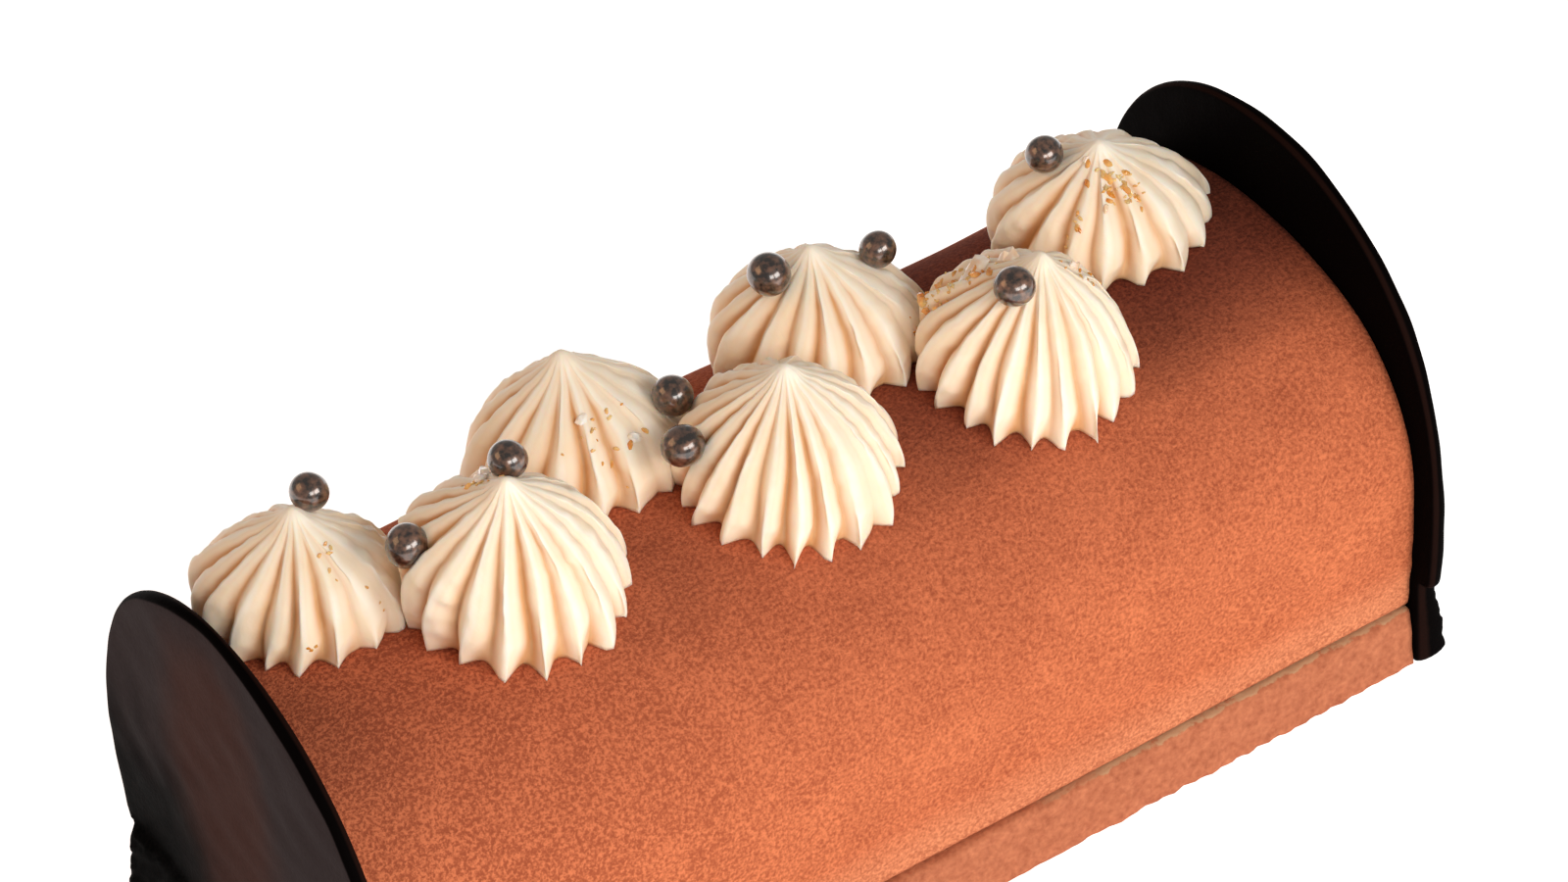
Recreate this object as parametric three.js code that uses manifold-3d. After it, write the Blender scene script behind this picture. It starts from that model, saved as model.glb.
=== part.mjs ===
import * as THREE from 'three';
import { mergeVertices } from 'three/addons/utils/BufferGeometryUtils.js';
import Module from 'manifold-3d';

// A small chocolate log cake. A mousse log stands on a thin cake base, with a dark chocolate plate on
// each end, seven piped cream kisses in a zigzag along the top, and chocolate pearls and caramel chips
// on the cream. Millimetres: +X runs along the log, +Y is its back and +Z is up. The origin is under
// the middle of the cake, on the surface it stands on.

// Driving dimensions
const logWidth = 80;
const logLength = 183.4;
const logHeight = 67.9;
const plateWidth = 86;
const plateThickness = 2.6;
const pearlDiameter = 6.4;

// A touching piece keeps this far from its neighbour
const gap = 0.3;

// The log's section: a squarish half oval over the widest height, tucked in a little below it
const logY = 1.5;
const widestHeight = 35.2;
const squareness = 2.3;
const seamHeight = 11;
const seamTuck = 1.8;
const sectionSteps = 40;
const tuckSteps = 5;

// The cake base flares a little towards the bottom and shows as a ledge under the log
const baseBottomWidth = 80.2;
const baseTopWidth = 78.2;

// The end plates: both lean the same way and open a little towards the front, as set by hand
const plateLean = Math.tan(THREE.MathUtils.degToRad(1.5));
const plateOpening = Math.tan(THREE.MathUtils.degToRad(0.8));
const plateWidestHeight = 35.9;
const plateSquareness = 2.15;
const plateTuck = 1.1;
const footWidth = 78.4;
const footTopThickness = 3.6;
const footBottomThickness = 6.2;
const footJoin = 0.5;
const leftPlate = { side: -1, height: 82.8, notchHeight: 18.2 };
const rightPlate = { side: 1, height: 83.9, notchHeight: 17.2 };

// The cream kisses, back and front in turns, from the left plate. x and y are the place of a centre,
// wide the widest radius, tall the height over the log, turn the first ridge's direction in degrees,
// forward and aside how far the tip bends over, as shares of the height, and fuller how much the
// shoulder swells, as a share of the radius, in the direction fullest.
const kisses = [
  { x: -69.5, y: 15.8, wide: 16.2, tall: 18.8, ridges: 17, turn: 4,
    forward: -0.03, aside: 0.02, fuller: 0.45, fullest: 131 },
  { x: -43.8, y: -2.0, wide: 17.1, tall: 24.6, ridges: 18, turn: 10,
    forward: 0.12, aside: -0.04, fuller: 0.45, fullest: 146 },
  { x: -19.9, y: 18.6, wide: 18.1, tall: 19.4, ridges: 16, turn: 0,
    forward: -0.13, aside: 0.02, fuller: 0.2, fullest: 154 },
  { x: 2.1, y: -4.8, wide: 17.5, tall: 19.9, ridges: 20, turn: 6,
    forward: 0, aside: 0.07, fuller: 0.15, fullest: 121 },
  { x: 23.0, y: 16.6, wide: 17.2, tall: 18.8, ridges: 16, turn: 14,
    forward: -0.07, aside: 0, fuller: 0.38, fullest: 125 },
  { x: 44.4, y: -6.5, wide: 16.9, tall: 20.6, ridges: 20, turn: 2,
    forward: 0.09, aside: 0.14, fuller: 0.3, fullest: 138 },
  { x: 72.1, y: 12.4, wide: 17.3, tall: 17.5, ridges: 16, turn: 8,
    forward: 0.07, aside: -0.03, fuller: 0.37, fullest: 117 },
];

// A kiss from its foot to its tip: height and radius as shares of the whole, and how deep the grooves
// cut into the radius there
const kissProfile = [
  { up: 0.0, out: 1.0, groove: 0.165 },
  { up: 0.15, out: 0.975, groove: 0.155 },
  { up: 0.33, out: 0.875, groove: 0.15 },
  { up: 0.52, out: 0.725, groove: 0.145 },
  { up: 0.69, out: 0.505, groove: 0.135 },
  { up: 0.83, out: 0.285, groove: 0.105 },
  { up: 0.93, out: 0.13, groove: 0.04 },
  { up: 1.0, out: 0.045, groove: 0 },
];
const kissSwirl = THREE.MathUtils.degToRad(9);

// A kiss's foot follows the log's slope. Higher up the slope counts less, by this power. The swell of
// a shoulder is a sine wave over the height's share, raised to a power that moves it upwards. From one
// ridge to the next the unevenness moves on by a step along a sine wave, in radians.
const footFollow = 0.7;
const shoulderPower = 1.6;
const ridgeUnevenness = 0.03;
const unevennessStep = 2.3;
const undersideRings = [0.76, 0.6, 0.4, 0.2];
const tipHeight = 1.02;

// A groove's share of its depth from one crest to the next. At the toes it is an even hollow, and up the
// side it slopes gently into a valley close to the next crest.
const toeShape = [0, 0.7, 1, 0.7];
const ridgeShape = [0, 0.15, 0.45, 1];
const toeHeight = 0.22;

// The pearls, by their places seen from above. Each one is lowered until it lies sunk into the cream.
const pearlSink = 1.0;
const pearls = [
  { x: -65.2, y: 17.7 },
  { x: -58.8, y: 1.4 },
  { x: -41, y: 0.4 },
  { x: -7.6, y: 9.8 },
  { x: -13.1, y: -1.5 },
  { x: 15.5, y: 18 },
  { x: 33.5, y: 15.5 },
  { x: 41, y: -10.5 },
  { x: 64.6, y: 15.7 },
];

// Chips of brittle: the kiss each is stuck to, its place seen from above, its length, and the
// direction it points in, in degrees. Its middle lies over the cream by a share of its length.
const chipRise = 0.04;
const chipWidth = 0.62;
const chipThickness = 0.34;
const chipTilt = THREE.MathUtils.degToRad(25);
const chips = [
  { kiss: 6, x: 45.3, y: -2.3, long: 4, points: 100 },
  { kiss: 6, x: 40.5, y: 0.2, long: 5.6, points: 0 },
  { kiss: 6, x: 34.7, y: 4.4, long: 4, points: 60 },
  { kiss: 6, x: 53.7, y: -9.4, long: 3.4, points: 20 },
  { kiss: 7, x: 67.3, y: 8.8, long: 3.2, points: 130 },
  { kiss: 7, x: 70.8, y: 4.7, long: 4.5, points: 70 },
  { kiss: 3, x: -22.3, y: 11.4, long: 3.2, points: 80 },
  { kiss: 3, x: -16.8, y: 5.2, long: 4.2, points: 150 },
  { kiss: 2, x: -45.4, y: 1.6, long: 4.2, points: 30 },
];

const wasm = await Module();
wasm.setup();

// Solids and geometries
function positionsOnly(geometry) {
  const bare = geometry.clone();
  bare.deleteAttribute('normal');
  bare.deleteAttribute('uv');
  return mergeVertices(bare, 1e-4);
}

function solidOf(geometry) {
  const merged = positionsOnly(geometry);
  const mesh = new wasm.Mesh({
    numProp: 3,
    vertProperties: new Float32Array(merged.attributes.position.array),
    triVerts: new Uint32Array(merged.index.array),
  });
  return new wasm.Manifold(mesh);
}

function geometryOf(solid) {
  const mesh = solid.getMesh();
  const geometry = new THREE.BufferGeometry();
  geometry.setAttribute('position', new THREE.BufferAttribute(new Float32Array(mesh.vertProperties), 3));
  geometry.setIndex(new THREE.BufferAttribute(new Uint32Array(mesh.triVerts), 1));
  geometry.computeVertexNormals();
  return geometry;
}

// Height of a squarish half oval over its widest height, at a distance from its middle
function archRise(distance, halfWidth, rise, exponent) {
  const share = Math.min(Math.abs(distance) / halfWidth, 1);
  return rise * Math.pow(1 - Math.pow(share, exponent), 1 / exponent);
}

// Points of an arch that curls in below its widest height, from its lower end at +Y over the top
function archPoints({ halfWidth, widest, top, exponent, tuck, bottom, steps }) {
  const points = [];
  for (let i = 0; i < tuckSteps; i++) {
    const z = bottom + ((widest - bottom) * i) / tuckSteps;
    const share = (widest - z) / (widest - bottom);
    points.push([halfWidth - tuck * share * share, z]);
  }
  for (let i = 0; i <= steps; i++) {
    const angle = (Math.PI * i) / steps;
    const across = Math.sign(Math.cos(angle)) * Math.pow(Math.abs(Math.cos(angle)), 2 / exponent);
    const up = Math.pow(Math.sin(angle), 2 / exponent);
    points.push([halfWidth * across, widest + (top - widest) * up]);
  }
  for (let i = tuckSteps - 1; i >= 0; i--) {
    points.push([-points[i][0], points[i][1]]);
  }
  return points;
}

// Where an end of the log lies: side is -1 for the left end and 1 for the right one
function endX(side, y, z) {
  return side * (logLength / 2 - plateOpening * (y - logY)) + plateLean * z;
}

// A section drawn in Y and Z becomes a solid between two x positions, given as functions of y and z
function along(points, yMiddle, startX, stopX) {
  const shape = new THREE.Shape(points.map(([y, z]) => new THREE.Vector2(y, z)));
  const geometry = new THREE.ExtrudeGeometry(shape, { depth: 1, bevelEnabled: false, steps: 1 });
  const position = geometry.attributes.position;
  for (let i = 0; i < position.count; i++) {
    const y = position.getX(i) + yMiddle;
    const z = position.getY(i);
    const x = position.getZ(i) > 0.5 ? stopX(y, z) : startX(y, z);
    position.setXYZ(i, x, y, z);
  }
  return geometry;
}

// The mousse log
function logGeometry() {
  const points = archPoints({
    halfWidth: logWidth / 2,
    widest: widestHeight,
    top: logHeight,
    exponent: squareness,
    tuck: seamTuck,
    bottom: seamHeight + gap / 2,
    steps: sectionSteps,
  });
  return along(points, logY, (y, z) => endX(-1, y, z) + gap, (y, z) => endX(1, y, z) - gap);
}

// The cake base under the log
function baseGeometry() {
  const top = seamHeight - gap / 2;
  const points = [
    [baseBottomWidth / 2, 0],
    [baseTopWidth / 2, top],
    [-baseTopWidth / 2, top],
    [-baseBottomWidth / 2, 0],
  ];
  return along(points, logY, (y, z) => endX(-1, y, z) + gap, (y, z) => endX(1, y, z) - gap);
}

// An end plate: an arch over a notch on each side, and a foot that thickens outwards to the table
function plateGeometry({ side, height, notchHeight }) {
  const inner = (y, z) => endX(side, y, z);
  const outer = (thickness) => (y, z) => endX(side, y, z) + side * thickness;
  const between = (points, thickness) => side > 0
    ? along(points, 0, inner, outer(thickness))
    : along(points, 0, outer(thickness), inner);
  const arch = archPoints({
    halfWidth: plateWidth / 2,
    widest: plateWidestHeight,
    top: height,
    exponent: plateSquareness,
    tuck: plateTuck,
    bottom: notchHeight,
    steps: sectionSteps,
  });
  const footHalf = footWidth / 2;
  const footTop = notchHeight + footJoin;
  const foot = [
    [footHalf, 0],
    [footHalf, footTop],
    [-footHalf, footTop],
    [-footHalf, 0],
  ];
  const footSlab = between(foot, 1);
  const position = footSlab.attributes.position;
  for (let i = 0; i < position.count; i++) {
    const y = position.getY(i);
    const z = position.getZ(i);
    const outward = side * (position.getX(i) - inner(y, z));
    const taper = THREE.MathUtils.lerp(footBottomThickness, footTopThickness, z / footTop);
    position.setX(i, inner(y, z) + side * outward * taper);
  }
  return geometryOf(solidOf(between(arch, plateThickness)).add(solidOf(footSlab)));
}

// How high the log's skin is at a place across it
function logTop(y) {
  const rise = logHeight - widestHeight;
  return widestHeight + archRise(y - logY, logWidth / 2, rise, squareness);
}

// Kisses that stand close push each other flat: a point of one stays on its own side of the middle
function keptClear(kiss, x, y) {
  let point = new THREE.Vector2(x, y);
  for (const other of kisses) {
    if (other === kiss) continue;
    const away = new THREE.Vector2(other.x - kiss.x, other.y - kiss.y);
    const distance = away.length();
    const limit = (distance * kiss.wide) / (kiss.wide + other.wide) - gap / 2;
    away.normalize();
    const reach = (point.x - kiss.x) * away.x + (point.y - kiss.y) * away.y;
    if (reach > limit) point = point.addScaledVector(away, limit - reach);
  }
  return point;
}

// A point of a kiss: up is its height's share, and out its distance from the middle in millimetres
function kissPoint(kiss, angle, out, up) {
  const bend = kiss.tall * up * up;
  const bentX = kiss.x + out * Math.cos(angle) + kiss.aside * bend;
  const bentY = kiss.y + out * Math.sin(angle) - kiss.forward * bend;
  const { x, y } = keptClear(kiss, bentX, bentY);
  const drop = logTop(y + kiss.forward * bend) - logTop(kiss.y);
  const rise = up * kiss.tall + drop * Math.pow(1 - Math.min(up, 1), footFollow);
  const z = logTop(kiss.y) + gap + rise;
  return new THREE.Vector3(x, y, z);
}

function kissGeometry(kiss) {
  const perRidge = ridgeShape.length;
  const count = kiss.ridges * perRidge;
  const positions = [];
  const indices = [];
  const add = (point) => positions.push(point.x, point.y, point.z) / 3 - 1;
  const ringAt = ({ up, out, groove }) => {
    const ring = [];
    for (let i = 0; i < count; i++) {
      const ridge = Math.floor(i / perRidge);
      const uneven = ridgeUnevenness * Math.sin(ridge * unevennessStep + kiss.turn);
      const angle = (2 * Math.PI * i) / count + THREE.MathUtils.degToRad(kiss.turn) + kissSwirl * up;
      const facing = Math.max(0, Math.cos(angle - THREE.MathUtils.degToRad(kiss.fullest)));
      const shoulder = 1 + kiss.fuller * facing * Math.sin(Math.PI * Math.pow(up, shoulderPower));
      const slanted = Math.min(up / toeHeight, 1);
      const hollow = THREE.MathUtils.lerp(toeShape[i % perRidge], ridgeShape[i % perRidge], slanted);
      const share = out * shoulder * (1 - groove * hollow - uneven);
      ring.push(add(kissPoint(kiss, angle, share * kiss.wide, up)));
    }
    return ring;
  };
  const rings = kissProfile.map(ringAt);
  for (let r = 0; r + 1 < rings.length; r++) {
    for (let i = 0; i < count; i++) {
      const next = (i + 1) % count;
      indices.push(rings[r][i], rings[r][next], rings[r + 1][next]);
      indices.push(rings[r][i], rings[r + 1][next], rings[r + 1][i]);
    }
  }
  const top = rings[rings.length - 1];
  const tip = add(kissPoint(kiss, 0, 0, tipHeight));
  for (let i = 0; i < count; i++) indices.push(top[i], top[(i + 1) % count], tip);

  // The underside follows the log, with one point for each ridge
  const smallRing = (out) => Array.from({ length: kiss.ridges }, (unused, i) => {
    const angle = (2 * Math.PI * i) / kiss.ridges + THREE.MathUtils.degToRad(kiss.turn);
    return add(kissPoint(kiss, angle, out * kiss.wide, 0));
  });
  const under = undersideRings.map(smallRing);
  const middlePoint = add(kissPoint(kiss, 0, 0, 0));
  for (let ridge = 0; ridge < kiss.ridges; ridge++) {
    const nextRidge = (ridge + 1) % kiss.ridges;
    const middle = Math.floor(perRidge / 2);
    for (let i = 0; i < perRidge; i++) {
      const here = rings[0][ridge * perRidge + i];
      const next = rings[0][(ridge * perRidge + i + 1) % count];
      indices.push(next, here, i < middle ? under[0][ridge] : under[0][nextRidge]);
    }
    indices.push(rings[0][ridge * perRidge + middle], under[0][ridge], under[0][nextRidge]);
    for (let r = 0; r + 1 < under.length; r++) {
      indices.push(under[r][ridge], under[r + 1][ridge], under[r + 1][nextRidge]);
      indices.push(under[r][ridge], under[r + 1][nextRidge], under[r][nextRidge]);
    }
    const last = under[under.length - 1];
    indices.push(last[nextRidge], last[ridge], middlePoint);
  }
  const geometry = new THREE.BufferGeometry();
  geometry.setAttribute('position', new THREE.Float32BufferAttribute(positions, 3));
  geometry.setIndex(indices);
  return geometry;
}

// A pearl is lowered over its place until it touches the log or a point of the cream, less the sink
function pearlCentre({ x, y }, creamPoints) {
  const radius = pearlDiameter / 2;
  let height = logTop(y) + radius;
  for (const point of creamPoints) {
    const across = Math.hypot(point.x - x, point.y - y);
    if (across < radius) height = Math.max(height, point.z + Math.sqrt(radius * radius - across * across));
  }
  return new THREE.Vector3(x, y, height - pearlSink);
}

function sphereGeometry(radius, centre) {
  const geometry = new THREE.SphereGeometry(radius, 12, 8);
  geometry.rotateX(Math.PI / 2);
  geometry.translate(centre.x, centre.y, centre.z);
  return geometry;
}

// A chip is a flat, uneven splinter, half sunk into its kiss where a line from above meets the cream
function chipGeometry({ x, y, long, points }, kissShape) {
  const above = new THREE.Vector3(x, y, 2 * logHeight);
  const line = new THREE.Raycaster(above, new THREE.Vector3(0, 0, -1));
  const skin = line.intersectObject(new THREE.Mesh(kissShape))[0].point.z;
  const geometry = new THREE.IcosahedronGeometry(0.5, 0);
  geometry.scale(long, long * chipWidth, long * chipThickness);
  geometry.rotateY(chipTilt);
  geometry.rotateZ(THREE.MathUtils.degToRad(points));
  geometry.translate(x, y, skin + long * chipRise);
  return geometry;
}

// A kiss with its chips stuck on, and a hollow under each pearl
function dressedKissGeometry(kiss, shape, chipShapes, centres) {
  let solid = solidOf(shape);
  for (const chip of chipShapes) solid = solid.add(solidOf(chip));
  for (const centre of centres) {
    const near = Math.hypot(centre.x - kiss.x, centre.y - kiss.y) < kiss.wide + pearlDiameter;
    if (near) solid = solid.subtract(solidOf(sphereGeometry(pearlDiameter / 2 + gap, centre)));
  }
  return geometryOf(solid);
}

// The whole cake
const group = new THREE.Group();

function addPiece(name, geometry, color, roughness) {
  const material = new THREE.MeshStandardMaterial({ color, roughness, metalness: 0 });
  const mesh = new THREE.Mesh(positionsOnly(geometry), material);
  mesh.name = name;
  group.add(mesh);
}

addPiece('cake_base', baseGeometry(), '#b5714f', 0.9);
addPiece('mousse_log', logGeometry(), '#b8653d', 0.9);
addPiece('end_plate_left', plateGeometry(leftPlate), '#332d2c', 0.45);
addPiece('end_plate_right', plateGeometry(rightPlate), '#332d2c', 0.45);
const kissShapes = kisses.map(kissGeometry);
const creamPoints = kissShapes.flatMap((shape) => {
  const position = shape.attributes.position;
  return Array.from({ length: position.count }, (unused, i) => (
    new THREE.Vector3().fromBufferAttribute(position, i)
  ));
});
const pearlCentres = pearls.map((pearl) => pearlCentre(pearl, creamPoints));
kisses.forEach((kiss, i) => {
  const ownChips = chips.filter((chip) => chip.kiss === i + 1);
  const chipShapes = ownChips.map((chip) => chipGeometry(chip, kissShapes[i]));
  const geometry = dressedKissGeometry(kiss, kissShapes[i], chipShapes, pearlCentres);
  addPiece(`cream_kiss_${i + 1}`, geometry, '#f7e3c4', 0.55);
});
pearlCentres.forEach((centre, i) => {
  addPiece(`chocolate_pearl_${i + 1}`, sphereGeometry(pearlDiameter / 2, centre), '#4a3326', 0.35);
});

export default group;
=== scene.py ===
"""A chocolate log cake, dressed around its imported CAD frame.

A velvet-sprayed mousse log stands on a thin sponge base between two dark chocolate plates. Seven piped
cream kisses, nine chocolate pearls and some caramel chips lie along its top. Shapes are worked out in
millimetres and put into the meshes in metres: +X runs along the log, +Y is its back and +Z is up.
"""
import math

import bpy
import numpy as np
from mathutils import Matrix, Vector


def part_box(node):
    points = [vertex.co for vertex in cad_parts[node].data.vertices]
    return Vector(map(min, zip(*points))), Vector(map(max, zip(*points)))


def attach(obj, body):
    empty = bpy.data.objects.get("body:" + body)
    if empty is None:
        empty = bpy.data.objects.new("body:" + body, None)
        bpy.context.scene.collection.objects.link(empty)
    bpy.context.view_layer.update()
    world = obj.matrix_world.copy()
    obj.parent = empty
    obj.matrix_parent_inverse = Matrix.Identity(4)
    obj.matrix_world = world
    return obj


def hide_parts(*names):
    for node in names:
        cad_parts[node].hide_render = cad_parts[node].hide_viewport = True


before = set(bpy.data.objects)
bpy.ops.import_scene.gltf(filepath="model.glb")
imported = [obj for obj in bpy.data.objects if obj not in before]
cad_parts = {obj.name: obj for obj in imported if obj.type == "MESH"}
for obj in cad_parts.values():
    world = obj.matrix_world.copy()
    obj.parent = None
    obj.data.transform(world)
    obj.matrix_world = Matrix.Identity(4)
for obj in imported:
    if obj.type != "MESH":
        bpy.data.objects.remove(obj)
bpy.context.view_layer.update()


# The cake base
# A strip of baked chocolate sponge, cut a little narrower than the log and sprayed with it. It is
# crumbly along its upper edge, where it shows paler, and it flares a little towards the bottom.

METRES = 0.001
LOG_LENGTH = 183.4
LOG_MIDDLE_Y = 1.5
PLATE_LEAN = math.tan(math.radians(1.5))
PLATE_OPENING = math.tan(math.radians(0.8))
GAP = 0.3
GRID_SPACING = 1.0
WAVES = 14
BASE_BOTTOM_WIDTH = 80.2
BASE_TOP_WIDTH = 78.2
BASE_TOP = 10.9
BASE_EDGE_ROUNDING = 0.7
BASE_SPACING = 0.9
BASE_ROUGH_BEYOND = 36
BASE_ROUGH_FADE = 2
BASE_ROUGHNESS_HEIGHT = 0.12
BASE_INSET = 1.5
BASE_CRUMB_WIDTH = 3.5
BASE_LUMP_WIDTH = 11
SPONGE_GRAINS_PER_MM = 1.1
SPONGE_CRUMBS_PER_MM = 0.42
SPONGE_PATCHES_PER_MM = 0.06


def linear(colour):
    """An sRGB hex colour as linear red, green, blue and alpha."""
    srgb = np.array([int(colour[i:i + 2], 16) for i in (1, 3, 5)]) / 255
    low = srgb / 12.92
    high = ((srgb + 0.055) / 1.055) ** 2.4
    return (*np.where(srgb <= 0.04045, low, high), 1.0)


def new_material(name):
    """An empty material with its output, its shader and its object coordinates."""
    material = bpy.data.materials.new(name)
    material.use_nodes = True
    material.node_tree.nodes.clear()
    shader = node(material, "ShaderNodeBsdfPrincipled")
    node(material, "ShaderNodeOutputMaterial", {"Surface": shader})
    place = node(material, "ShaderNodeTexCoord").outputs["Object"]
    return material, shader, place


def node(material, kind, inputs=None, **settings):
    """Adds a node, makes its settings, and fills its inputs with values or with other nodes."""
    added = material.node_tree.nodes.new(kind)
    for name, value in settings.items():
        setattr(added, name, value)
    fill(material, added, inputs or {})
    return added


def fill(material, filled, inputs):
    """Fills a node's inputs, each found by its name or number. A node is linked from its first output
    in use, an output is linked, a hex colour is made linear, and a value is set."""
    for name, value in inputs.items():
        named = [entry for entry in filled.inputs if entry.enabled and entry.name == name]
        entry = named[0] if named else filled.inputs[name]
        if isinstance(value, bpy.types.Node):
            value = next(output for output in value.outputs if output.enabled)
        if isinstance(value, bpy.types.NodeSocket):
            material.node_tree.links.new(value, entry)
        elif isinstance(value, str):
            entry.default_value = linear(value)
        else:
            entry.default_value = value


def between(start, stop):
    """The two ends of a Map Range, from places in millimetres."""
    return {"From Min": start * METRES, "From Max": stop * METRES}


def unevenness(points, wavelength, seed):
    """A smooth random height: sine waves of about that length in random directions, added up and
    divided so that the heights spread by about one either way."""
    random = np.random.default_rng(seed)
    directions = random.normal(size=(3, WAVES))
    directions /= np.linalg.norm(directions, axis=0)
    turns = points @ (directions * random.uniform(0.7, 1.4, WAVES)) / wavelength
    return np.sin(2 * np.pi * (turns + random.uniform(0, 1, WAVES))).sum(axis=-1) / math.sqrt(WAVES / 2)


def ring_faces(rings, count):
    """Quads between neighbouring rings of a closed tube, each ring having that many points."""
    ring, step = np.meshgrid(np.arange(rings - 1), np.arange(count), indexing="ij")
    following = (step + 1) % count
    corners = (ring * count + step, ring * count + following,
               (ring + 1) * count + following, (ring + 1) * count + step)
    return np.stack(corners, axis=-1).reshape(-1, 4).tolist()


def closed_tube_faces(rings, count):
    """The quads between the rings, and one face on each end."""
    first = list(range(count))[::-1]
    last = [(rings - 1) * count + i for i in range(count)]
    return ring_faces(rings, count) + [first, last]


def add_piece(name, points, faces, material, replaced=(), smooth=True):
    """Puts points in millimetres and faces into a mesh that rides with the cake."""
    mesh = bpy.data.meshes.new(name)
    mesh.from_pydata((np.reshape(points, (-1, 3)) * METRES).tolist(), [], faces)
    mesh.materials.append(material)
    mesh.polygons.foreach_set("use_smooth", [smooth] * len(mesh.polygons))
    mesh.update()
    added = bpy.data.objects.new(name, mesh)
    bpy.context.scene.collection.objects.link(added)
    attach(added, "root")
    if replaced:
        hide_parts(*replaced)
    return added


def end_x(side, y, z):
    """Where an end of the log lies: side is -1 for the left end and 1 for the right one. Both ends lean
    the same way with height and open towards the front."""
    return side * (LOG_LENGTH / 2 - PLATE_OPENING * (y - LOG_MIDDLE_Y)) + PLATE_LEAN * z


def evenly_spaced(outline, spacing):
    """A closed outline's points again, spaced evenly along it: each is found by its share of the way
    round, from the running sum of the distances between the points."""
    closed = np.vstack([outline, outline[:1]])
    travelled = np.append(0, np.cumsum(np.linalg.norm(np.diff(closed, axis=0), axis=1)))
    wanted = np.linspace(0, travelled[-1], int(travelled[-1] / spacing), endpoint=False)
    return np.stack([np.interp(wanted, travelled, closed[:, i]) for i in (0, 1)], axis=-1)


def log_grid(outline):
    """An outline in y and z is carried along the cake: for each share of the way from end to end, x is
    that share of the distance between the two slanting ends."""
    y = outline[:, 0] + LOG_MIDDLE_Y
    z = outline[:, 1]
    start = end_x(-1, y, z) + GAP
    stop = end_x(1, y, z) - GAP
    share = np.linspace(0, 1, int(LOG_LENGTH / GRID_SPACING))[:, None]
    x = start + share * (stop - start)
    return np.stack([x, np.broadcast_to(y, x.shape), np.broadcast_to(z, x.shape)], axis=-1)


def base_outline():
    """Half widths that run straight from bottom to top, with the top edges rounded by a quarter circle."""
    turn = np.linspace(0, np.pi / 2, 6)
    half = BASE_TOP_WIDTH / 2 - BASE_EDGE_ROUNDING
    right_y = np.append(BASE_BOTTOM_WIDTH / 2, half + BASE_EDGE_ROUNDING * np.cos(turn))
    right_z = np.append(0, BASE_TOP - BASE_EDGE_ROUNDING * (1 - np.sin(turn)))
    right = np.stack([right_y, right_z], axis=-1)
    return evenly_spaced(np.vstack([right, right[::-1] * [-1, 1]]), BASE_SPACING)


def sprayed_sponge():
    """Sponge under a cocoa butter spray: matt, with a fine grain and open crumb pores, and towards the
    right a thin pale line along the cut top edge, where the spray didn't reach."""
    material, shader, place = new_material("sprayed_sponge")
    grain = node(material, "ShaderNodeTexNoise",
                 {"Vector": place, "Scale": SPONGE_GRAINS_PER_MM / METRES, "Detail": 3.0})
    crumb = node(material, "ShaderNodeTexNoise",
                 {"Vector": place, "Scale": SPONGE_CRUMBS_PER_MM / METRES, "Detail": 5.0,
                  "Roughness": 0.65})
    axes = node(material, "ShaderNodeSeparateXYZ", {"Vector": place}).outputs
    both = node(material, "ShaderNodeMath", {0: crumb, 1: 0.9, 2: grain}, operation="MULTIPLY_ADD")
    mottled = node(material, "ShaderNodeMapRange", {"Value": both, "From Min": 0.5, "From Max": 1.4})
    spray = node(material, "ShaderNodeMix", {"Factor": mottled, "A": "#954f35", "B": "#cb7f5a"},
                 data_type="RGBA")
    ragged = node(material, "ShaderNodeMath", {0: crumb, 1: 2.2 * METRES}, operation="MULTIPLY")
    raised = node(material, "ShaderNodeMath", {0: axes["Z"], 1: ragged}, operation="ADD")
    at_edge = node(material, "ShaderNodeMapRange", {"Value": raised, **between(11.6, 11.9)})
    missed = node(material, "ShaderNodeTexNoise",
                  {"Vector": place, "Scale": SPONGE_PATCHES_PER_MM / METRES, "Detail": 3.0})
    shifted = node(material, "ShaderNodeMath", {0: missed, 1: 90 * METRES, 2: axes["X"]},
                   operation="MULTIPLY_ADD")
    bare = node(material, "ShaderNodeMapRange", {"Value": shifted, **between(68, 83)})
    pale = node(material, "ShaderNodeMath", {0: at_edge, 1: bare}, operation="MULTIPLY")
    coloured = node(material, "ShaderNodeMix", {"Factor": pale, "A": spray, "B": "#b98f6c"},
                    data_type="RGBA")
    pores = node(material, "ShaderNodeBump",
                 {"Height": crumb, "Strength": 0.55, "Distance": 0.6 * METRES})
    fine = node(material, "ShaderNodeBump",
                {"Height": grain, "Strength": 0.5, "Distance": 0.4 * METRES, "Normal": pores})
    fill(material, shader, {"Base Color": coloured, "Roughness": 0.92, "Specular IOR Level": 0.2,
                            "Normal": fine})
    return material


base_grid = log_grid(base_outline())
base_bump = (unevenness(base_grid, BASE_CRUMB_WIDTH, 11)
             + 0.7 * unevenness(base_grid, BASE_LUMP_WIDTH, 12))
base_side = base_grid[..., 1] - LOG_MIDDLE_Y
at_side = np.clip((np.abs(base_side) - BASE_ROUGH_BEYOND) / BASE_ROUGH_FADE, 0, 1)
base_grid[..., 1] += np.sign(base_side) * at_side * BASE_ROUGHNESS_HEIGHT * (base_bump - BASE_INSET)
add_piece("sponge_base", base_grid, closed_tube_faces(*base_grid.shape[:2]), sprayed_sponge(),
          ["cake_base"])


# The mousse log
# Milk chocolate mousse set in a half-round mould and sprayed frozen with cocoa butter, which dries to
# a soft velvet grain. The mould leaves it smooth, apart from faint long ripples low on its sides.

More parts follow.
